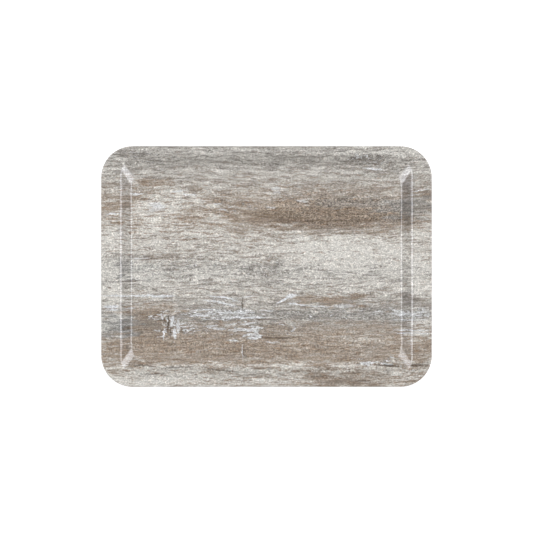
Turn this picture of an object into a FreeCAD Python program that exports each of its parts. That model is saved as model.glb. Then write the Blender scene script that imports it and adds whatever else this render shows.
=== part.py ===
"""Pressed laminate serving tray: eight bonded sheets, from the clear overlay down to the backing.

Frame: millimetres, +Z up, origin on the underside at the middle of the flat floor, +X along the
tray's length. The tray stands on z = 0 and its rim is at tray_height.

Every sheet follows the same dished shape. A level is the solid under one boundary surface of the
stack, so a sheet is what lies between its own level and the next one down, trimmed at the rim.
"""

import FreeCAD, Part
import math
import os
import Sketcher

SIZES = {
    # the whole tray, outside
    "tray_length": 440.0,
    "tray_width": 320.0,
    "tray_height": 18.0,
    "outline_corner": 42.0,
    # the recess, measured where its bends would be if they were sharp
    "opening_length": 388.0,
    "opening_width": 297.0,
    "opening_corner": 25.5,
    "wall_run": 13.4,
    "floor_corner": 32.0,
    # the bends of the top surface
    "rim_bend": 8.0,
    "floor_bend": 5.5,
    # the pressed stack and its trimmed edge
    "laminate": 3.0,
    "overlay": 0.15,
    "decor": 0.25,
    "backing": 0.4,
    "edge_round": 1.2,
    # how far the levels reach below the floor, where the next level cuts it all away
    "stock": 5.0,
}
CORE_SHEETS = 5
CORE_NAMES = [f"core_sheet_{number}" for number in range(1, CORE_SHEETS + 1)]
SHEETS = ["overlay", "decor_sheet", *CORE_NAMES, "backing_sheet"]

# expressions on the spreadsheet
FACE = "(Sizes.overlay + Sizes.decor)"
CORE = f"(Sizes.laminate - Sizes.backing - {FACE})"
RECESS = "(Sizes.tray_height - Sizes.laminate)"
# how far a bend line moves outwards for each millimetre of depth: the tangent of half the slope
OUTWARDS = f"((sqrt(Sizes.wall_run ^ 2 + {RECESS} ^ 2) - Sizes.wall_run) / {RECESS})"

CLOSE = 1e-4
START, END, ORIGIN = 1, 2, -1


def add_spreadsheet(document):
    """The driving dimensions: each row holds a name and its number."""
    sheet = document.addObject("Spreadsheet::Sheet", "Sizes")
    for row, (alias, value) in enumerate(SIZES.items(), start=1):
        sheet.set(f"A{row}", alias)
        sheet.set(f"B{row}", str(value))
        sheet.setAlias(f"B{row}", alias)
    document.recompute()


def level_depths():
    """The depth of each level under the top surface, as expressions from 0 to the whole stack."""
    core = [f"({FACE} + {number} / {CORE_SHEETS} * {CORE})" for number in range(1, CORE_SHEETS)]
    return ["0", "Sizes.overlay", FACE, *core, "(Sizes.laminate - Sizes.backing)", "Sizes.laminate"]


def rounded_rectangle(body, name, height, length, width, corner):
    """A centred sketch parallel to the floor, whose height and sizes are expressions."""
    sketch = body.newObject("Sketcher::SketchObject", name)
    plane = next(item for item in body.Origin.OriginFeatures if item.Role == "XY_Plane")
    sketch.AttachmentSupport = [(plane, "")]
    sketch.MapMode = "FlatFace"
    sketch.setExpression("AttachmentOffset.Base.z", height)

    radius = SIZES["floor_corner"]
    x = SIZES["opening_length"] / 2 - radius
    y = SIZES["opening_width"] / 2 - radius
    arcs = []
    for quarter, centre in enumerate([(x, y), (-x, y), (-x, -y), (x, -y)]):
        circle = Part.Circle(FreeCAD.Vector(*centre, 0), FreeCAD.Vector(0, 0, 1), radius)
        arc = Part.ArcOfCircle(circle, quarter * math.pi / 2, (quarter + 1) * math.pi / 2)
        arcs.append(arc)
    for arc, following in zip(arcs, arcs[1:] + arcs[:1]):
        sketch.addGeometry(arc)
        sketch.addGeometry(Part.LineSegment(arc.EndPoint, following.StartPoint))

    first_arc, top, left, bottom, right = 0, 1, 3, 5, 7
    for edge in range(8):
        sketch.addConstraint(Sketcher.Constraint("Tangent", edge, END, (edge + 1) % 8, START))
    for edge in (top, bottom):
        sketch.addConstraint(Sketcher.Constraint("Horizontal", edge))
    for edge in (left, right):
        sketch.addConstraint(Sketcher.Constraint("Vertical", edge))
    for arc in (2, 4, 6):
        sketch.addConstraint(Sketcher.Constraint("Equal", first_arc, arc))
    sketch.addConstraint(Sketcher.Constraint("Symmetric", right, END, left, END, ORIGIN, START))
    sizes = {
        "length": Sketcher.Constraint("DistanceX", left, START, right, START, 2 * (x + radius)),
        "width": Sketcher.Constraint("DistanceY", bottom, START, top, START, 2 * (y + radius)),
        "corner": Sketcher.Constraint("Radius", first_arc, radius),
    }
    for (size, constraint), expression in zip(sizes.items(), (length, width, corner)):
        index = sketch.addConstraint(constraint)
        sketch.renameConstraint(index, size)
        sketch.setExpression(f"Constraints.{size}", expression)
    return sketch


def edges_at(feature, height, outer):
    """The names of one horizontal plane's edges that lie on the tray's outline, or inside it."""
    names = []
    for number, edge in enumerate(feature.Shape.Edges, start=1):
        box = edge.BoundBox
        level = abs(box.ZMin - height) < CLOSE and abs(box.ZMax - height) < CLOSE
        reach_x = max(-box.XMin, box.XMax) + CLOSE > SIZES["tray_length"] / 2
        reach_y = max(-box.YMin, box.YMax) + CLOSE > SIZES["tray_width"] / 2
        if level and (reach_x or reach_y) == outer:
            names.append(f"Edge{number}")
    return names


def pad(body, name, profile, length):
    """A sketch pushed upwards by a length."""
    feature = body.newObject("PartDesign::Pad", name)
    feature.Profile = profile
    feature.setExpression("Length", length)
    profile.Visibility = False
    return feature


def fillet(document, body, name, base, edges, radius):
    """Some edges of the last feature, rounded."""
    feature = body.newObject("PartDesign::Fillet", name)
    feature.Base = (base, edges)
    feature.setExpression("Radius", radius)
    document.recompute()
    return feature


def add_level(document, number, depth):
    """The solid under one level: a block with the dished recess pressed into it."""
    body = document.addObject("PartDesign::Body", f"level_{number}")
    shift = f"2 * {depth} * {OUTWARDS}"
    rim = f"Sizes.tray_height - {depth}"
    floor = f"Sizes.laminate - {depth}"
    outline = rounded_rectangle(
        body, f"outline_{number}", "-Sizes.stock",
        "Sizes.tray_length", "Sizes.tray_width", "Sizes.outline_corner",
    )
    pad(body, f"block_{number}", outline, f"{rim} + Sizes.stock")
    opening = rounded_rectangle(
        body, f"opening_{number}", rim,
        f"Sizes.opening_length + {shift}", f"Sizes.opening_width + {shift}",
        f"Sizes.opening_corner + {shift} / 2",
    )
    bottom = rounded_rectangle(
        body, f"floor_{number}", floor,
        f"Sizes.opening_length - 2 * Sizes.wall_run + {shift}",
        f"Sizes.opening_width - 2 * Sizes.wall_run + {shift}",
        f"Sizes.floor_corner + {shift} / 2",
    )
    document.recompute()
    recess = body.newObject("PartDesign::SubtractiveLoft", f"recess_{number}")
    recess.Profile = opening
    recess.Sections = [bottom]
    recess.Ruled = True
    document.recompute()

    floor_edges = edges_at(recess, bottom.Placement.Base.z, outer=False)
    bent = fillet(document, body, f"floor_bend_{number}", recess, floor_edges,
                  f"Sizes.floor_bend + {depth}")
    rim_edges = edges_at(bent, opening.Placement.Base.z, outer=False)
    fillet(document, body, f"rim_bend_{number}", bent, rim_edges, f"Sizes.rim_bend - {depth}")
    return body


def add_trim(document):
    """The space inside the trimmed rim, whose upper and lower edges are rounded."""
    body = document.addObject("PartDesign::Body", "trim")
    outline = rounded_rectangle(
        body, "rim_outline", RECESS, "Sizes.tray_length", "Sizes.tray_width", "Sizes.outline_corner"
    )
    plate = pad(body, "rim_plate", outline, "Sizes.laminate")
    document.recompute()
    edges = []
    for height in (outline.Placement.Base.z, plate.Shape.BoundBox.ZMax):
        edges += edges_at(plate, height, outer=True)
    fillet(document, body, "rim_edges", plate, edges, "Sizes.edge_round")
    inset = "4 * Sizes.edge_round"
    inner = rounded_rectangle(
        body, "inner_outline", "0", f"Sizes.tray_length - {inset}",
        f"Sizes.tray_width - {inset}", f"Sizes.outline_corner - {inset} / 2"
    )
    pad(body, "inner_block", inner, "Sizes.tray_height")
    document.recompute()
    return body


def add_sheet(document, name, level, next_level, trim):
    """One sheet of the stack: what lies between two levels, inside the trimmed rim."""
    layer = document.addObject("Part::Cut", f"untrimmed_{name}")
    layer.Base = level
    layer.Tool = next_level
    sheet = document.addObject("Part::Common", name)
    sheet.Base = layer
    sheet.Tool = trim
    sheet.Refine = True
    sheet.Label = name
    sheet.Placement = FreeCAD.Placement()
    return sheet


def check(document, sheets):
    """Stops before anything is written if a feature failed or a sheet isn't one valid solid."""
    for item in document.Objects:
        if {"Invalid", "Error"} & set(item.State):
            raise RuntimeError(f"{item.Name} is {item.State}")
    for sheet in sheets:
        shape = sheet.Shape
        if shape.isNull() or not shape.isValid() or len(shape.Solids) != 1:
            raise RuntimeError(f"{sheet.Label} isn't one valid solid")


def main():
    document = FreeCAD.newDocument("serving_tray")
    add_spreadsheet(document)
    levels = [add_level(document, *level) for level in enumerate(level_depths())]
    trim = add_trim(document)
    sheets = [
        add_sheet(document, name, level, next_level, trim)
        for name, level, next_level in zip(SHEETS, levels, levels[1:])
    ]
    document.recompute()
    check(document, sheets)
    os.makedirs("parts", exist_ok=True)
    for sheet in sheets:
        sheet.Shape.exportStep(f"parts/{sheet.Label}.step")
        print(f"{sheet.Label}: {sheet.Shape.Volume / 1000:.2f} cm3, {len(sheet.Shape.Faces)} faces")


main()
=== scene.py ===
"""A pressed laminate serving tray with a weathered-wood print, on a white floor, seen from above.

Metres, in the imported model's frame: +X along the tray, +Y across it, +Z up, standing on z = 0.
"""

import math

import bmesh
import bpy
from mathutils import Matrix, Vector


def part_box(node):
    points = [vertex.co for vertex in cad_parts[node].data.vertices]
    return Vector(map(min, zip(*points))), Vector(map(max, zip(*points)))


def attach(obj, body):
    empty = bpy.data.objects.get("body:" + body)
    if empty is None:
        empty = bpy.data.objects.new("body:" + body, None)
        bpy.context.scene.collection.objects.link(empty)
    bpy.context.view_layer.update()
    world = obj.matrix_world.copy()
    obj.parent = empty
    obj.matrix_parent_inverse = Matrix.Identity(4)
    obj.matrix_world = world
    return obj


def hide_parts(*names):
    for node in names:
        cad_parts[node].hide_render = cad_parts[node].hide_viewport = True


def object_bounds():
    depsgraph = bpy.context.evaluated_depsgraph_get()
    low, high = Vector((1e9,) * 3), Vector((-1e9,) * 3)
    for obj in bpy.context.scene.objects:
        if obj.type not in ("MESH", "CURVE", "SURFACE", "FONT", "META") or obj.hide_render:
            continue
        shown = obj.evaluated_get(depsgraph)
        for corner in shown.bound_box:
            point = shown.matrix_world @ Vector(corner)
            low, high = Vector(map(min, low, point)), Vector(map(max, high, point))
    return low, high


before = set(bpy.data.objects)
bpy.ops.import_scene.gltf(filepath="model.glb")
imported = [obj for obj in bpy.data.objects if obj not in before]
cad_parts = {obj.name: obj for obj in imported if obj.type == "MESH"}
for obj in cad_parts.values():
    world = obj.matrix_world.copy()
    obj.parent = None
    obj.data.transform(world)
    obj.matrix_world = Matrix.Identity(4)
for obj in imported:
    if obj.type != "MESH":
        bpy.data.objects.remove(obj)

CAD_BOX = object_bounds()
LOW, HIGH = (Vector(corner) for corner in CAD_BOX)

# The tray's driving sizes, as in the CAD model. The rims are measured to the opening's bend line,
# and a bend's radius is that of the top face.
END_RIM = 0.026
SIDE_RIM = 0.0115
WALL_RUN = 0.0134
LAMINATE = 0.003
RIM_BEND = 0.008
FLOOR_BEND = 0.0055
EDGE_ROUND = 0.0012

RIM_TOP = HIGH.z
FLOOR_TOP = LOW.z + LAMINATE
RECESS = RIM_TOP - FLOOR_TOP
# Half length, half width and corner radius. The opening and the floor are the two bend lines, where
# rim, wall and floor would meet if the bends were sharp.
OUTLINE = (HIGH.x, HIGH.y, 0.042)
OPENING = (HIGH.x - END_RIM, HIGH.y - SIDE_RIM, 0.0255)
FLOOR = (OPENING[0] - WALL_RUN, OPENING[1] - WALL_RUN, 0.032)
# How far a bend line moves outwards for each metre of depth: the tangent of half the wall's slope.
OUTWARDS = (math.hypot(WALL_RUN, RECESS) - WALL_RUN) / RECESS

# How finely the sheets are divided, and how far inside its bend line the flat floor has more rings.
CORNER_STEPS = 20
SIDE_STEPS = 14
BEND_STEPS = 8
EDGE_STEPS = 4
FLOOR_INSETS = (0.02, 0.004)
SHARP_ANGLE = math.radians(35)


# ---------------------------------------------------------------- the pressed sheets

def rounded_loop(half_x, half_y, radius):
    """Points round a rounded rectangle. Every loop has its corners and sides in step."""
    arcs = []
    for quarter, (x_sign, y_sign) in enumerate([(1, 1), (-1, 1), (-1, -1), (1, -1)]):
        centre = Vector((x_sign * (half_x - radius), y_sign * (half_y - radius)))
        turns = [(quarter + step / CORNER_STEPS) * math.pi / 2 for step in range(CORNER_STEPS + 1)]
        arcs.append([centre + radius * Vector((math.cos(turn), math.sin(turn))) for turn in turns])
    points = []
    for arc, following in zip(arcs, arcs[1:] + arcs[:1]):
        points += arc
        points += [arc[-1].lerp(following[0], step / SIDE_STEPS) for step in range(1, SIDE_STEPS)]
    return points


def grown(shape, distance):
    """The loop that runs this far outside a shape, or inside it where the distance is negative."""
    return rounded_loop(*(size + distance for size in shape))


# The way outwards at each point of a loop, as long as the 1 m between these two loops.
NORMALS = [b - a for a, b in zip(grown(OUTLINE, -1), rounded_loop(*OUTLINE))]


def ring(points, heights):
    return [Vector((*point, height)) for point, height in zip(points, heights)]


def bend_rings(line, level, slopes, radius):
    """Rings from the flat to the wall's slope, round a bend. A negative radius bends downwards."""
    rings = []
    for step in range(BEND_STEPS + 1):
        points, heights = [], []
        for point, normal, slope in zip(line, NORMALS, slopes):
            turn = slope * step / BEND_STEPS
            points.append(point + normal * radius * (math.sin(turn) - math.tan(slope / 2)))
            heights.append(level + radius * (1 - math.cos(turn)))
        rings.append(ring(points, heights))
    return rings


def surface_rings(depth):
    """Rings of the surface at a depth under the top face, from the floor out to the rim."""
    floor = grown(FLOOR, depth * OUTWARDS)
    opening = grown(OPENING, depth * OUTWARDS)
    slopes = [math.atan2(RECESS, (o - f).dot(n)) for f, o, n in zip(floor, opening, NORMALS)]
    floor_level = FLOOR_TOP - depth
    flat = [ring(grown(FLOOR, -inset), [floor_level] * len(floor)) for inset in FLOOR_INSETS]
    floor_bend = bend_rings(floor, floor_level, slopes, FLOOR_BEND + depth)
    rim_bend = bend_rings(opening, RIM_TOP - depth, slopes, depth - RIM_BEND)
    return flat + floor_bend + rim_bend[::-1]


def edge_ring(depth):
    """The trimmed edge's ring at a depth: it is rounded at its top and at its bottom."""
    near_face = max(EDGE_ROUND - depth, depth - (LAMINATE - EDGE_ROUND), 0)
    inset = EDGE_ROUND - math.sqrt(max(0, EDGE_ROUND ** 2 - near_face ** 2))
    return ring(grown(OUTLINE, -inset), [RIM_TOP - depth] * len(NORMALS))


def sheet(name, top_depth, bottom_depth):
    """A closed sheet of the stack, between two depths under the top face."""
    rings = surface_rings(top_depth)
    for step in range(EDGE_STEPS + 1):
        rings.append(edge_ring(top_depth + (bottom_depth - top_depth) * step / EDGE_STEPS))
    rings += reversed(surface_rings(bottom_depth))
    form = bmesh.new()
    loops = [[form.verts.new(point) for point in points] for points in rings]
    count = len(NORMALS)
    for inner, outer in zip(loops, loops[1:]):
        for a in range(count):
            b = (a + 1) % count
            form.faces.new((inner[a], outer[a], outer[b], inner[b]))
    # the middle of the floor, above and below
    form.faces.new(loops[0])
    form.faces.new(loops[-1][::-1])
    bmesh.ops.recalc_face_normals(form, faces=form.faces)
    mesh = bpy.data.meshes.new(name)
    form.to_mesh(mesh)
    form.free()
    mesh.shade_smooth()
    mesh.set_sharp_from_angle(angle=SHARP_ANGLE)
    piece = bpy.data.objects.new(name, mesh)
    bpy.context.scene.collection.objects.link(piece)
    return piece


def stand_in(name, slot, material, *nodes):
    """A finer sheet that shows in place of some packed sheets, from the top one to the bottom one."""
    top = RIM_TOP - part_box(nodes[0])[1][2]
    bottom = FLOOR_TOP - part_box(nodes[-1])[0][2]
    piece = sheet(name, top, bottom)
    piece.data.materials.append(material)
    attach(piece, "root")
    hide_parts(*nodes)
    return piece


# ---------------------------------------------------------------- materials

def tone(red, green, blue):
    """A shader colour from 0-255 display values."""
    def linear(value):
        value /= 255
        return value / 12.92 if value <= 0.04045 else ((value + 0.055) / 1.055) ** 2.4
    return (linear(red), linear(green), linear(blue), 1)


# The print's colours. Each wood has a tone between its fibres and one on them.
BROWN_WOOD = (tone(130, 112, 95), tone(176, 162, 147))
GREY_WOOD = (tone(120, 119, 116), tone(168, 167, 164))
# also the tone of one painted dark reflection, on the top right corner's wall
DARK_WOOD_AND_DARK_REFLECTION = tone(100, 86, 73)
WHITEWASH = tone(220, 217, 211)
BROWN_FLECK = tone(134, 106, 82)
WHITE_FLECK = tone(228, 226, 220)
DARK_CHIP = tone(98, 89, 80)
PALE_CHIP = tone(222, 223, 224)
DARK_STROKE = tone(84, 70, 58)
WHITE_STROKE = tone(223, 225, 228)
PIT = tone(112, 108, 104)
# Not print: painted shade, the grey tone the end walls are multiplied by to darken them.
PAINTED_WALL_SHADE_TONE = tone(190, 187, 188)
# The core, from its darkest layers to its palest, and the backing.
KRAFT = (tone(42, 30, 22), tone(66, 48, 35), tone(94, 72, 54))
BACKING = (tone(148, 143, 137), tone(160, 155, 149))
BACKING_SCUFF = tone(182, 178, 172)
BACKING_STIPPLE = tone(118, 113, 108)

# The gloss of the clear resin over the print.
RESIN_ROUGHNESS = (0.105, 0.135)
RESIN_IOR = 1.6


class Paint:
    """A node material, with short names for the nodes it is made of."""

    def __init__(self, name):
        self.material = bpy.data.materials.new(name)
        self.material.use_nodes = True
        self.tree = self.material.node_tree
        self.shader = self.tree.nodes["Principled BSDF"]
        self.place = self.node("ShaderNodeTexCoord").outputs["Object"]

    def node(self, kind, **settings):
        made = self.tree.nodes.new(kind)
        for key, value in settings.items():
            setattr(made, key, value)
        return made

    def set(self, socket, value):
        """Gives a socket its value, which may be another node's output."""
        if isinstance(value, bpy.types.NodeSocket):
            self.tree.links.new(value, socket)
        else:
            socket.default_value = value

    def calculate(self, operation, first, second):
        made = self.node("ShaderNodeMath", operation=operation)
        self.set(made.inputs[0], first)
        self.set(made.inputs[1], second)
        return made.outputs[0]

    def add(self, first, second):
        return self.calculate("ADD", first, second)

    def times(self, first, second):
        return self.calculate("MULTIPLY", first, second)

    def within(self, value, low, high, start=0.0, end=1.0):
        """Start below low, end above high, and a smooth step between them."""
        made = self.node("ShaderNodeMapRange", interpolation_type="SMOOTHSTEP")
        for socket, number in zip(made.inputs, (value, low, high, start, end)):
            self.set(socket, number)
        return made.outputs[0]

    def scaled(self, place, length, width, height=math.inf, seed=0.0):
        """The place, counted in features of this size. Without a height they run straight down."""
        mapping = self.node("ShaderNodeMapping")
        self.set(mapping.inputs["Vector"], place)
        mapping.inputs["Scale"].default_value = (1 / length, 1 / width, 1 / height)
        mapping.inputs["Location"].default_value = (seed, seed, seed)
        return mapping.outputs[0]

    def streaks(self, length, width, detail, roughness=0.5, *, seed, place=None, height=math.inf):
        """Noise whose features have this size along and across the tray."""
        noise = self.node("ShaderNodeTexNoise")
        scaled = self.scaled(place or self.place, length, width, height, seed)
        self.set(noise.inputs["Vector"], scaled)
        noise.inputs["Scale"].default_value = 1
        noise.inputs["Detail"].default_value = detail
        noise.inputs["Roughness"].default_value = roughness
        return noise.outputs[0]

    def flakes(self, length, width, place, contrast):
        """Small cells of this size, each with a value of its own, up to contrast away from 1."""
        cells = self.node("ShaderNodeTexVoronoi", voronoi_dimensions="2D")
        self.set(cells.inputs["Vector"], self.scaled(place, length, width))
        cells.inputs["Scale"].default_value = 1
        parts = self.node("ShaderNodeSeparateColor")
        self.set(parts.inputs[0], cells.outputs["Color"])
        return self.within(parts.outputs[0], 0, 1, 1 - contrast, 1 + contrast)

    def shift(self, reach, spread, *size, seed):
        """Noise as a distance: reach either way, where it is at least spread away from 0.5."""
        noise = self.streaks(*size, seed=seed)
        return self.within(noise, 0.5 - spread, 0.5 + spread, -reach, reach)

    def moved(self, place, along=0.0, across=0.0):
        """The place shifted by amounts that may be noise."""
        shift = self.node("ShaderNodeCombineXYZ")
        self.set(shift.inputs["X"], along)
        self.set(shift.inputs["Y"], across)
        made = self.node("ShaderNodeVectorMath", operation="ADD")
        self.set(made.inputs[0], place)
        self.set(made.inputs[1], shift.outputs[0])
        return made.outputs[0]

    def spot(self, place, x, y, half_x, half_y, turn=0.0, soft=0.6):
        """An oval area: 1 in its middle, falling to 0 over its soft outer part."""
        # so tall that the tray's own height makes no difference
        half_z = 10
        mapping = self.node("ShaderNodeMapping", vector_type="TEXTURE")
        self.set(mapping.inputs["Vector"], place)
        mapping.inputs["Location"].default_value = (x, y, 0)
        mapping.inputs["Rotation"].default_value = (0, 0, math.radians(turn))
        mapping.inputs["Scale"].default_value = (half_x, half_y, half_z)
        ball = self.node("ShaderNodeTexGradient", gradient_type="SPHERICAL")
        self.set(ball.inputs["Vector"], mapping.outputs[0])
        return self.within(ball.outputs["Fac"], 0, soft)

    def zones(self, table, place, start=0.0):
        """The start value, with the strength of each zone added inside that zone."""
        for x, y, half_x, half_y, strength in table:
            start = self.add(start, self.times(self.spot(place, x, y, half_x, half_y), strength))
        return start

    def mix(self, amount, first, second, blend="MIX"):
        made = self.node("ShaderNodeMix", data_type="RGBA", blend_type=blend)
        # the node's two colours are its inputs 6 and 7, after those for numbers and vectors
        factor, *_, first_colour, second_colour = made.inputs[:8]
        for socket, value in ((factor, amount), (first_colour, first), (second_colour, second)):
            self.set(socket, value)
        return made.outputs[2]

    def ramp(self, amount, stops):
        made = self.node("ShaderNodeValToRGB")
        self.set(made.inputs[0], amount)
        elements = made.color_ramp.elements
        for number, (position, colour) in enumerate(stops):
            element = elements[number] if number < 2 else elements.new(position)
            element.position = position
            element.color = colour
        return made.outputs[0]

    def bump(self, height, distance, strength):
        made = self.node("ShaderNodeBump")
        made.inputs["Strength"].default_value = strength
        made.inputs["Distance"].default_value = distance
        self.set(made.inputs["Height"], height)
        self.set(self.shader.inputs["Normal"], made.outputs[0])


# The print, and the painted shade on the end walls, as places on the tray in metres: x, y, half
# length, half width, strength.
# How much more whitewash is left than on the rest of its plank, or how much less.
WASH_ZONES = [
    (-0.158, 0.066, 0.050, 0.030, 0.45),
    (-0.110, 0.082, 0.060, 0.018, 0.25),
    (-0.110, 0.100, 0.060, 0.016, 0.20),
    (-0.149, 0.081, 0.018, 0.012, 0.60),
    (-0.112, 0.098, 0.024, 0.008, 0.15),
    (0.013, 0.103, 0.012, 0.008, 0.50),
    (0.048, 0.088, 0.024, 0.006, 0.40),
    (0.085, 0.072, 0.130, 0.026, -0.50),
    (0.100, 0.101, 0.090, 0.014, -0.12),
    (-0.010, 0.058, 0.060, 0.014, -0.10),
    (-0.095, 0.046, 0.060, 0.010, 0.25),
    (0.115, 0.018, 0.105, 0.031, 0.55),
    (0.075, 0.022, 0.045, 0.018, 0.25),
    (0.110, 0.048, 0.080, 0.008, -0.25),
    (0.082, -0.0445, 0.070, 0.010, -0.38),
    (-0.120, -0.086, 0.040, 0.012, -0.20),
    (-0.070, 0.028, 0.055, 0.010, -0.15),
    (-0.155, 0.013, 0.030, 0.010, -0.35),
    (-0.110, 0.008, 0.070, 0.014, -0.12),
    (-0.005, -0.012, 0.055, 0.026, -0.15),
    (-0.060, -0.014, 0.050, 0.010, 0.35),
    (0.100, -0.018, 0.060, 0.012, 0.20),
    (-0.150, -0.034, 0.050, 0.008, 0.05),
    (-0.060, -0.048, 0.050, 0.008, 0.20),
    (-0.160, -0.080, 0.050, 0.034, -0.25),
    (0.135, -0.098, 0.060, 0.012, 0.15),
    (-0.160, 0.113, 0.030, 0.012, -0.15),
    (-0.075, 0.061, 0.045, 0.012, 0.25),
    (-0.216, 0.000, 0.024, 0.200, 0.25),
    (0.216, 0.000, 0.022, 0.200, 0.12),
    (-0.208, 0.040, 0.026, 0.020, 0.50),
    (-0.208, -0.038, 0.024, 0.018, 0.55),
    (-0.208, -0.008, 0.024, 0.012, 0.25),
    (-0.206, 0.094, 0.022, 0.032, -0.24),
    (0.206, 0.044, 0.026, 0.012, 0.35),
    (0.206, 0.000, 0.026, 0.026, 0.40),
    (0.209, -0.030, 0.022, 0.012, 0.40),
    (0.211, -0.080, 0.022, 0.022, 0.40),
    (0.206, 0.090, 0.030, 0.022, -0.30),
    (0.206, -0.050, 0.030, 0.008, -0.30),
    (0.165, 0.152, 0.075, 0.010, 0.30),
    (-0.150, -0.150, 0.090, 0.020, 0.35),
    (0.108, -0.151, 0.094, 0.014, -0.46),
    (0.206, -0.143, 0.022, 0.010, -0.55),
    (-0.192, -0.141, 0.022, 0.008, -0.40),
    (-0.186, 0.153, 0.016, 0.006, -0.40),
    (0.188, -0.126, 0.016, 0.006, 0.30),
    (-0.016, -0.141, 0.024, 0.010, 0.35),
]
# Where the bare wood is darker, and, on the top right corner's wall, a painted dark reflection.
DARK_ZONES = [
    (0.085, 0.063, 0.115, 0.024, 0.55),
    (0.000, 0.066, 0.045, 0.014, 0.30),
    (-0.150, -0.078, 0.050, 0.022, 0.38),
    (0.010, -0.086, 0.040, 0.014, 0.30),
    (-0.010, -0.116, 0.070, 0.012, 0.25),
    (0.115, -0.152, 0.050, 0.008, 0.60),
    (-0.172, 0.144, 0.028, 0.012, 0.50),
    (0.130, 0.141, 0.032, 0.008, 0.70),
    # painted reflection: a dark patch on the top right corner's wall, where the wall reflects the
    # dark room
    (0.172, 0.134, 0.010, 0.012, 0.50),
    (-0.156, 0.0155, 0.016, 0.0036, 0.90),
    (-0.066, 0.0045, 0.010, 0.0024, 0.80),
    (-0.154, 0.0420, 0.010, 0.0024, 0.60),
    (0.206, -0.138, 0.024, 0.009, 0.55),
]
# How much greyer the bare wood is than the rest of its plank, or how much browner.
GREY_ZONES = [
    (-0.205, -0.080, 0.036, 0.020, 0.80),
    (0.190, 0.078, 0.060, 0.022, 0.70),
    (0.110, 0.085, 0.060, 0.010, 0.40),
    (-0.185, -0.002, 0.050, 0.030, 0.30),
    (0.140, -0.112, 0.080, 0.008, 0.20),
    (0.080, -0.045, 0.066, 0.010, -0.45),
    (-0.150, -0.060, 0.060, 0.016, -0.70),
    (-0.160, 0.113, 0.030, 0.012, -0.40),
]
# Where the paint is chipped into small pale and dark scales.
CHIP_ZONES = [
    (-0.060, -0.063, 0.075, 0.011, 0.80),
    (-0.110, -0.080, 0.014, 0.016, 0.80),
    (-0.136, -0.086, 0.010, 0.020, 0.70),
    (-0.134, -0.066, 0.010, 0.010, 0.70),
    (-0.024, -0.087, 0.024, 0.016, 0.85),
    (-0.075, -0.083, 0.030, 0.006, 0.50),
    (0.037, -0.084, 0.011, 0.011, 0.50),
    (0.090, -0.063, 0.110, 0.012, 0.40),
    (0.188, -0.064, 0.040, 0.010, 0.75),
    (0.150, -0.131, 0.045, 0.007, 0.70),
    (-0.172, 0.146, 0.034, 0.012, 0.45),
    (0.130, 0.141, 0.036, 0.010, 0.55),
    (-0.060, -0.046, 0.036, 0.009, 0.45),
    (-0.095, 0.004, 0.060, 0.016, 0.30),
    (0.000, -0.008, 0.055, 0.026, 0.30),
    (-0.050, 0.080, 0.045, 0.014, 0.30),
]
# How much stronger or weaker the fine stipple is than on the rest of the tray.
GRAIN_ZONES = [
    (0.095, 0.074, 0.130, 0.030, 0.50),
    (-0.020, 0.130, 0.200, 0.030, -0.20),
    (0.030, -0.062, 0.150, 0.014, 0.15),
    (0.000, -0.100, 0.240, 0.030, 0.15),
]
# Painted shade: where the two end walls are made darker, for the shade on their slopes.
PAINTED_WALL_SHADE_ZONES = [
    (0.187, 0.000, 0.012, 0.170, 0.08),
    (0.187, 0.084, 0.011, 0.050, 0.40),
    (0.189, 0.109, 0.015, 0.014, 0.50),
    (0.191, -0.076, 0.013, 0.020, 0.20),
    (0.191, -0.042, 0.013, 0.016, 0.50),
    (-0.193, 0.046, 0.010, 0.010, 0.40),
    (-0.187, -0.084, 0.011, 0.020, 0.30),
    (-0.187, 0.077, 0.011, 0.014, 0.35),
    (-0.190, 0.106, 0.013, 0.020, 0.20),
    (-0.193, 0.000, 0.011, 0.016, 0.45),
]
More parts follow.
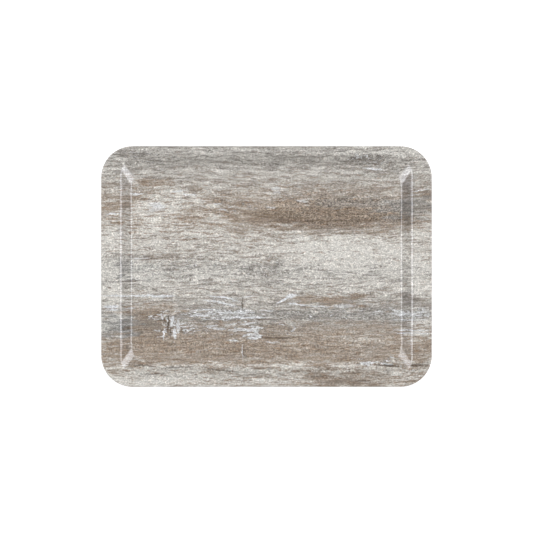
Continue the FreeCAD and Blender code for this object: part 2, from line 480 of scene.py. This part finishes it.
# Thin marks in the print: x, y, half length, half width, turn in degrees, strength.
WHITE_STROKES = [
    (-0.176, -0.0390, 0.058, 0.0010, 0.0, 0.9),
    (-0.140, -0.0397, 0.022, 0.0015, 0.0, 0.9),
    (-0.206, -0.0535, 0.014, 0.0017, 0.0, 0.9),
    (-0.205, -0.0575, 0.012, 0.0010, 0.0, 0.8),
    (-0.183, -0.0560, 0.010, 0.0010, 0.0, 0.5),
    (-0.066, -0.0405, 0.020, 0.0009, -8.0, 0.9),
    (-0.049, -0.0432, 0.018, 0.0010, -16.0, 0.9),
    (-0.074, -0.0462, 0.016, 0.0009, -4.0, 0.7),
    (-0.052, -0.0500, 0.018, 0.0010, -14.0, 0.8),
    (-0.026, -0.0402, 0.010, 0.0009, 4.0, 0.7),
    (0.022, -0.0452, 0.013, 0.0012, 28.0, 1.0),
    (0.033, -0.0395, 0.009, 0.0026, 12.0, 0.9),
    (0.042, -0.0505, 0.018, 0.0010, -8.0, 0.9),
    (0.072, -0.0535, 0.020, 0.0009, -2.0, 0.7),
    (0.104, -0.0530, 0.020, 0.0020, 0.0, 0.5),
    (-0.024, -0.0683, 0.034, 0.0012, 0.0, 1.0),
    (-0.087, -0.0660, 0.014, 0.0011, -4.0, 0.9),
    (-0.040, -0.0615, 0.026, 0.0011, 2.0, 0.7),
    (-0.086, -0.0580, 0.022, 0.0009, 4.0, 0.7),
    (0.000, -0.0590, 0.014, 0.0010, 0.0, 0.6),
    (-0.1265, -0.0735, 0.0030, 0.0060, -8.0, 0.85),
    (-0.1230, -0.0900, 0.0028, 0.0065, 6.0, 0.85),
    (-0.1185, -0.0800, 0.0030, 0.0085, 0.0, 0.6),
    (-0.1375, -0.0905, 0.0012, 0.0070, -4.0, 0.9),
    (-0.1400, -0.0670, 0.0015, 0.0035, 20.0, 0.9),
    (-0.1325, -0.0720, 0.0012, 0.0025, 0.0, 0.9),
    (-0.074, -0.0800, 0.012, 0.0010, 6.0, 0.6),
    (-0.064, -0.0835, 0.012, 0.0011, -4.0, 0.6),
    (-0.048, -0.0785, 0.008, 0.0009, 4.0, 0.6),
    (-0.026, -0.0770, 0.014, 0.0009, 6.0, 0.6),
    (-0.022, -0.0850, 0.012, 0.0009, -8.0, 0.5),
    (-0.019, -0.0915, 0.010, 0.0009, 0.0, 0.6),
    (-0.015, -0.0945, 0.009, 0.0008, 4.0, 0.6),
    (-0.019, -0.0965, 0.007, 0.0009, -3.0, 0.5),
    (0.007, -0.1012, 0.012, 0.0009, 0.0, 0.6),
    (0.036, -0.0790, 0.0050, 0.0009, -38.0, 0.5),
    (0.036, -0.0850, 0.0060, 0.0012, 40.0, 0.6),
    (0.194, -0.0850, 0.030, 0.0009, 0.0, 0.8),
    (0.186, -0.0890, 0.018, 0.0009, 2.0, 0.8),
    (0.208, -0.0885, 0.014, 0.0010, 0.0, 0.7),
    (0.192, -0.0712, 0.030, 0.0008, 0.0, 0.7),
    (0.182, -0.0640, 0.024, 0.0014, -2.0, 0.7),
    (0.206, -0.0605, 0.014, 0.0010, 0.0, 0.6),
    (0.135, -0.1290, 0.014, 0.0013, 0.0, 0.8),
    (0.160, -0.1300, 0.012, 0.0011, -8.0, 0.7),
    (0.143, 0.1305, 0.016, 0.0012, -6.0, 0.9),
    (-0.149, 0.0835, 0.012, 0.0026, -3.0, 0.6),
    (-0.144, 0.0790, 0.012, 0.0026, 3.0, 0.6),
    (-0.151, 0.0750, 0.009, 0.0018, 0.0, 0.5),
    (0.012, 0.1040, 0.008, 0.0020, 10.0, 0.5),
    (0.014, 0.0990, 0.007, 0.0014, -6.0, 0.5),
    (0.047, 0.0880, 0.012, 0.0014, -4.0, 0.5),
    (-0.066, 0.0840, 0.008, 0.0010, 3.0, 0.6),
    (-0.058, 0.0760, 0.007, 0.0010, -6.0, 0.6),
    (-0.048, 0.0800, 0.006, 0.0009, 12.0, 0.6),
    (0.006, 0.0785, 0.008, 0.0011, 0.0, 0.6),
    (-0.204, 0.0700, 0.014, 0.0008, 0.0, 0.8),
    (-0.174, 0.0970, 0.012, 0.0010, 0.0, 0.8),
    (-0.118, 0.1010, 0.014, 0.0012, 6.0, 0.7),
    (-0.104, 0.0965, 0.012, 0.0010, -4.0, 0.7),
    (-0.168, 0.0104, 0.012, 0.0008, 0.0, 0.7),
    (0.205, 0.1010, 0.014, 0.0008, 8.0, 0.7),
    (-0.0323, -0.1145, 0.0009, 0.0085, 0.0, 0.7),
]
DARK_STROKES = [
    (-0.0323, -0.0500, 0.0010, 0.0085, 0.0, 0.8),
    (-0.1315, -0.0750, 0.0017, 0.0090, -4.0, 0.9),
    (-0.1285, -0.0880, 0.0010, 0.0060, 4.0, 0.7),
    (-0.1360, -0.0720, 0.0014, 0.0040, 10.0, 0.7),
    (-0.1230, -0.0650, 0.0050, 0.0011, 20.0, 0.6),
    (-0.0308, -0.1145, 0.0007, 0.0075, 0.0, 0.7),
    (0.018, -0.0957, 0.034, 0.0008, 0.0, 0.7),
    (0.000, -0.0705, 0.040, 0.0009, 0.0, 0.6),
    (0.080, 0.0610, 0.110, 0.0012, 0.0, 0.4),
    (0.122, 0.1435, 0.016, 0.0008, -10.0, 0.5),
    (0.142, 0.1370, 0.014, 0.0008, -8.0, 0.6),
    (0.140, 0.1265, 0.009, 0.0010, 6.0, 0.4),
    (-0.109, 0.0920, 0.010, 0.0008, 0.0, 0.7),
    (-0.168, -0.1325, 0.026, 0.0009, -4.0, 0.6),
    (-0.118, -0.1350, 0.030, 0.0009, 3.0, 0.6),
    (-0.060, -0.1390, 0.030, 0.0009, -5.0, 0.6),
    (-0.150, -0.1430, 0.024, 0.0008, 2.0, 0.5),
    (-0.020, -0.1440, 0.024, 0.0008, 4.0, 0.5),
    (0.160, -0.1325, 0.020, 0.0014, -4.0, 0.8),
    (0.204, -0.1310, 0.018, 0.0014, 0.0, 0.6),
    (0.128, -0.1520, 0.014, 0.0015, 0.0, 0.6),
    (-0.152, 0.0410, 0.010, 0.0010, 0.0, 0.5),
    (-0.185, -0.0200, 0.030, 0.0007, 0.0, 0.5),
    (-0.110, -0.0215, 0.024, 0.0007, -2.0, 0.5),
    (0.060, -0.0245, 0.026, 0.0007, 2.0, 0.5),
    (0.120, -0.0150, 0.020, 0.0007, -3.0, 0.5),
]
# From the front of the tray to the back: y, how much whitewash is left, how brown the wood is.
PLANKS = [
    (-0.157, 0.58, 0.85), (-0.148, 0.66, 0.85), (-0.136, 0.62, 0.90), (-0.128, 0.22, 0.90),
    (-0.114, 0.12, 1.00), (-0.098, 0.16, 0.95), (-0.082, 0.18, 0.80), (-0.066, 0.26, 0.15),
    (-0.050, 0.34, 0.40), (-0.034, 0.54, 0.50), (-0.018, 0.60, 0.30), (-0.002, 0.58, 0.20),
    (0.014, 0.63, 0.60), (0.030, 0.72, 0.60), (0.044, 0.50, 0.75), (0.060, 0.24, 1.00),
    (0.077, 0.20, 1.00), (0.093, 0.32, 0.85), (0.109, 0.36, 0.60), (0.125, 0.42, 0.35),
    (0.140, 0.40, 0.25), (0.154, 0.42, 0.25),
]
# How far from its middle a stroke has faded out, in half widths.
STROKE_SPREAD = 1.5
# How strongly each of these acts on the print. The stipple's strength is that outside its own zones.
WASH_STRENGTH = 1.3
DARK_STRENGTH = 0.6
CHIP_STRENGTH = 0.36
STIPPLE_STRENGTH = 0.48


def plank_values(paint, place):
    """How much whitewash is left and how brown the wood is, across the tray."""
    half_width = OUTLINE[1]
    position = paint.node("ShaderNodeSeparateXYZ")
    paint.set(position.inputs[0], place)
    across = paint.times(paint.add(position.outputs["Y"], half_width), 0.5 / half_width)
    left, brown = [], []
    for y, plank_left, plank_brown in PLANKS:
        stop = (y + half_width) / 2 / half_width
        left.append((stop, (plank_left,) * 3 + (1,)))
        brown.append((stop, (plank_brown,) * 3 + (1,)))
    return paint.ramp(across, left), paint.ramp(across, brown)


def bare_wood(paint, grain, ragged, brown):
    """Long fibres, brown or grey, darker in places."""
    fibre = paint.streaks(0.030, 0.0010, 3, 0.7, seed=4.4, place=grain)
    light = paint.within(fibre, 0.32, 0.68)
    wood = paint.mix(brown, paint.mix(light, *GREY_WOOD), paint.mix(light, *BROWN_WOOD))
    # the dark zones hold darker wood and one painted dark reflection on a corner wall
    dark = paint.calculate("MINIMUM", paint.zones(DARK_ZONES, ragged), 1.0)
    return paint.mix(paint.times(dark, DARK_STRENGTH), wood, DARK_WOOD_AND_DARK_REFLECTION)


def whitewashed(paint, grain, left, wood):
    """Whitewash over the wood, worn off in ragged flecks that run with the grain."""
    worn = paint.streaks(0.026, 0.0030, 5, 0.72, seed=2.2, place=grain)
    speckle = paint.streaks(0.0030, 0.0012, 2, 0.7, seed=7.7, place=grain)
    worn_weight, speckle_weight = 5.4, 2.6
    uneven = paint.add(paint.times(worn, worn_weight), paint.times(speckle, speckle_weight))
    # noise has its middle at 0.5, which is moved to 0
    uneven = paint.add(uneven, -(worn_weight + speckle_weight) / 2)
    uneven = paint.times(uneven, paint.within(left, 0, 0.8, start=0.35, end=1.1))
    cover = paint.add(uneven, paint.times(left, WASH_STRENGTH))
    return paint.mix(paint.within(cover, -0.05, 1.35), wood, WHITEWASH)


def flecked(paint, grain, left, brown, colour):
    """Flecks of brown, mostly on brown wood, and of white, mostly where whitewash is left."""
    fleck = paint.streaks(0.013, 0.0012, 3, 0.6, seed=7.3, place=grain)
    strength = paint.within(brown, 0, 0.7, start=0.3)
    show = paint.times(paint.within(fleck, 0.56, 0.65, end=0.65), strength)
    colour = paint.mix(show, colour, BROWN_FLECK)
    fleck = paint.streaks(0.010, 0.0012, 3, 0.6, seed=11.9, place=grain)
    strength = paint.within(left, 0, 0.6, start=0.25)
    show = paint.times(paint.within(fleck, 0.59, 0.68, end=0.7), strength)
    return paint.mix(show, colour, WHITE_FLECK)


def chipped(paint, grain, ragged, colour):
    """Small dark and pale scales, mostly where the paint is chipped."""
    scale = paint.streaks(0.0065, 0.0015, 3, 0.7, seed=14.2, place=grain)
    scale = paint.add(scale, paint.times(paint.zones(CHIP_ZONES, ragged), CHIP_STRENGTH))
    colour = paint.mix(paint.within(scale, 0.62, 0.70, end=0.6), colour, DARK_CHIP)
    return paint.mix(paint.within(scale, 0.72, 0.79, end=0.9), colour, PALE_CHIP)


def stroked(paint, jagged, colour):
    """The single thin marks."""
    for strokes, shade in ((DARK_STROKES, DARK_STROKE), (WHITE_STROKES, WHITE_STROKE)):
        for x, y, half_x, half_y, turn, strength in strokes:
            area = paint.spot(jagged, x, y, half_x, STROKE_SPREAD * half_y, turn, soft=0.5)
            colour = paint.mix(paint.times(area, strength), colour, shade)
    return colour


def pitted(paint, brown, colour):
    """Small dark pits, mostly where the wood is grey."""
    pits = paint.within(paint.streaks(0.0016, 0.0012, 1, seed=31.0), 0.56, 0.66, end=0.5)
    pits = paint.times(pits, paint.calculate("SUBTRACT", 1.1, brown))
    return paint.mix(pits, colour, PIT)


def stippled(paint, grain, ragged, dots, colour):
    """A fine stipple over everything."""
    flakes = paint.flakes(0.0017, 0.0012, grain, contrast=0.40)
    contrast = paint.times(paint.within(dots, 0.28, 0.72, start=0.50, end=1.50), flakes)
    strength = paint.zones(GRAIN_ZONES, ragged, start=STIPPLE_STRENGTH)
    return paint.mix(strength, colour, contrast, blend="MULTIPLY")


def printed_wood_painted_shade_and_reflection():
    """Old planks under worn whitewash, printed on paper and sealed under clear resin, with painted
    shade on the end walls and a painted dark reflection in one corner.
    """
    paint = Paint("weathered_wood_print_painted_shade_and_reflection")
    # grain runs in gentle waves, ragged breaks up the edges of zones and jagged nicks the strokes
    drift = paint.shift(0.004, 0.3, 0.20, 0.06, 1, seed=3.1)
    wander = paint.shift(0.002, 0.3, 0.030, 0.009, 2, seed=8.4)
    grain = paint.moved(paint.place, across=paint.add(drift, wander))
    along = paint.shift(0.022, 0.2, 0.030, 0.0045, 3, 0.6, seed=5.7)
    across = paint.shift(0.006, 0.2, 0.026, 0.0060, 3, 0.6, seed=1.9)
    ragged = paint.moved(paint.place, along, across)
    shake = paint.shift(0.0011, 0.25, 0.008, 0.004, 3, 0.7, seed=21.3)
    jagged = paint.moved(paint.place, shake, shake)
    dots = paint.streaks(0.0020, 0.0012, 2, 0.7, seed=4.8, place=grain)

    left, brown = plank_values(paint, ragged)
    left = paint.zones(WASH_ZONES, ragged, start=left)
    brown = paint.calculate("SUBTRACT", brown, paint.zones(GREY_ZONES, ragged))

    colour = bare_wood(paint, grain, ragged, brown)
    colour = whitewashed(paint, grain, left, colour)
    colour = flecked(paint, grain, left, brown, colour)
    colour = chipped(paint, grain, ragged, colour)
    colour = stroked(paint, jagged, colour)
    colour = pitted(paint, brown, colour)
    # painted shade: the end walls are darkened by multiplying them with a grey tone
    colour = paint.mix(paint.zones(PAINTED_WALL_SHADE_ZONES, jagged), colour, PAINTED_WALL_SHADE_TONE, blend="MULTIPLY")
    colour = stippled(paint, grain, ragged, dots, colour)

    paint.set(paint.shader.inputs["Base Color"], colour)
    paint.set(paint.shader.inputs["Roughness"], paint.within(dots, 0.2, 0.8, *RESIN_ROUGHNESS))
    paint.set(paint.shader.inputs["IOR"], RESIN_IOR)
    paint.bump(paint.streaks(0.0040, 0.0030, 2, seed=9.9), distance=0.00001, strength=0.3)
    return paint.material


def kraft_core():
    """Dark resin-soaked paper, seen only at the trimmed edge."""
    paint = Paint("kraft_core_edge")
    # 60 clouds and 2600 layers to the metre
    layers = paint.streaks(1 / 60, 1 / 60, 3, seed=0.0, height=1 / 2600)
    colour = paint.ramp(layers, zip((0.3, 0.5, 0.72), KRAFT))
    paint.set(paint.shader.inputs["Base Color"], colour)
    paint.set(paint.shader.inputs["Roughness"], paint.within(layers, 0.3, 0.7, 0.42, 0.62))
    paint.bump(layers, distance=0.00004, strength=0.6)
    return paint.material


def plain_backing():
    """The plain grey underside, with the fine stipple of a matt press plate."""
    paint = Paint("plain_grey_backing")
    cloud = paint.streaks(0.05, 0.04, 3, seed=6.1)
    colour = paint.ramp(cloud, zip((0.35, 0.65), BACKING))
    scuffs = paint.within(paint.streaks(0.05, 0.0016, 3, 0.65, seed=1.3), 0.66, 0.76, end=0.25)
    colour = paint.mix(scuffs, colour, BACKING_SCUFF)
    stipple = paint.streaks(0.0012, 0.0012, 2, 0.6, seed=2.6)
    colour = paint.mix(paint.within(stipple, 0.3, 0.7, end=0.22), colour, BACKING_STIPPLE)
    paint.set(paint.shader.inputs["Base Color"], colour)
    paint.set(paint.shader.inputs["Roughness"], paint.within(stipple, 0.3, 0.7, 0.5, 0.66))
    paint.bump(stipple, distance=0.00004, strength=0.7)
    return paint.material


# ---------------------------------------------------------------- floor, light and camera

WHITE = (1, 1, 1, 1)
GROUND_COLOUR = (0.8, 0.8, 0.8, 1)
GROUND_ROUGHNESS = 0.9
GROUND_GLOW = 0.55
GROUND_HALF = 6.0
GAP_UNDER_TRAY = 0.0002

# How bright the world looks to the camera, and how bright it is for everything else.
WORLD_SEEN = 1.0
WORLD_LIGHT = 0.30

# Soft boxes: place, width, length and radiance. A radiance of 1 looks as bright as white paper.
OVERHEAD_BOX = ((0, 0.15, 3.0), 1.2, 1.2, 13.9)
SIDE_BOX = ((1.26, 0, 1.09), 1.60, 0.96, 5.3)
LOW_BOX = ((1.69, 0.55, 0.43), 0.74, 0.68, 6.6)
# The low box at the back left is dimmer, because that corner of the tray has less gloss.
DIM_LOW_BOX = (*LOW_BOX[:3], 3.8)
GLOSS_TINT = (0.92, 0.94, 1.0)

# The camera's height over the rim, how much it sees there from side to side, and its sensor in mm.
CAMERA_DISTANCE = 2.0
FRAME_WIDTH = 0.7085
SENSOR_WIDTH = 36


def white_floor():
    paint = Paint("white_floor")
    paint.set(paint.shader.inputs["Base Color"], GROUND_COLOUR)
    paint.set(paint.shader.inputs["Roughness"], GROUND_ROUGHNESS)
    paint.set(paint.shader.inputs["Emission Color"], WHITE)
    paint.set(paint.shader.inputs["Emission Strength"], GROUND_GLOW)
    mesh = bpy.data.meshes.new("floor")
    corners = [(x * GROUND_HALF, y * GROUND_HALF, 0) for x, y in ((-1, -1), (1, -1), (1, 1), (-1, 1))]
    mesh.from_pydata(corners, [], [(0, 1, 2, 3)])
    mesh.materials.append(paint.material)
    floor = bpy.data.objects.new("floor", mesh)
    floor.location.z = LOW.z - GAP_UNDER_TRAY
    bpy.context.scene.collection.objects.link(floor)


def area_light(name, soft_box, x_sign=1, y_sign=1, glossy=True):
    """A soft box that faces the tray. The signs mirror its place to the tray's other sides.

    A glossy box shows only as a reflection. The other kind lights and shows in no reflection.
    """
    (x, y, z), width, length, radiance = soft_box
    place = Vector((x_sign * x, y_sign * y, z))
    lamp = bpy.data.lights.new(name, "AREA")
    lamp.shape = "RECTANGLE"
    lamp.size = width
    lamp.size_y = length
    lamp.energy = radiance * math.pi * width * length
    if glossy:
        lamp.color = GLOSS_TINT
    box = bpy.data.objects.new(name, lamp)
    box.location = place
    box.rotation_euler = (-place).to_track_quat("-Z", "Y").to_euler()
    box.visible_camera = False
    box.visible_diffuse = not glossy
    box.visible_glossy = glossy
    bpy.context.scene.collection.objects.link(box)


def white_world():
    world = bpy.data.worlds.new("studio")
    bpy.context.scene.world = world
    world.use_nodes = True
    nodes, links = world.node_tree.nodes, world.node_tree.links
    rays = nodes.new("ShaderNodeLightPath")
    strength = nodes.new("ShaderNodeMapRange")
    strength.inputs["To Min"].default_value = WORLD_LIGHT
    strength.inputs["To Max"].default_value = WORLD_SEEN
    links.new(rays.outputs["Is Camera Ray"], strength.inputs["Value"])
    links.new(strength.outputs[0], nodes["Background"].inputs["Strength"])
    nodes["Background"].inputs["Color"].default_value = WHITE


def lights():
    """An overhead box for the light, and boxes at both ends of the tray for its gloss."""
    area_light("overhead", OVERHEAD_BOX, glossy=False)
    for x_sign, name in ((-1, "left"), (1, "right")):
        area_light(f"{name}_box", SIDE_BOX, x_sign)
        for y_sign in (-1, 1):
            soft_box = DIM_LOW_BOX if (x_sign, y_sign) == (-1, 1) else LOW_BOX
            area_light(f"{name}_low_box_{y_sign}", soft_box, x_sign, y_sign)


def camera():
    """Straight above the middle of the tray, which spans a little over three fifths of the frame."""
    lens = bpy.data.cameras.new("camera")
    view = bpy.data.objects.new("camera", lens)
    lens.sensor_width = SENSOR_WIDTH
    lens.lens = SENSOR_WIDTH * CAMERA_DISTANCE / FRAME_WIDTH
    view.location = (0, 0, RIM_TOP + CAMERA_DISTANCE)
    bpy.context.scene.collection.objects.link(view)
    bpy.context.scene.camera = view


def main():
    stand_in("printed_face", "decor", printed_wood_painted_shade_and_reflection(), "overlay", "decor_sheet")
    stand_in("plain_underside", "backing", plain_backing(), "backing_sheet")
    core = kraft_core()
    for name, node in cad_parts.items():
        if name.startswith("core_sheet"):
            node.data.materials.clear()
            node.data.materials.append(core)
    white_floor()
    white_world()
    lights()
    camera()
    bpy.context.scene.view_settings.view_transform = "Standard"


main()
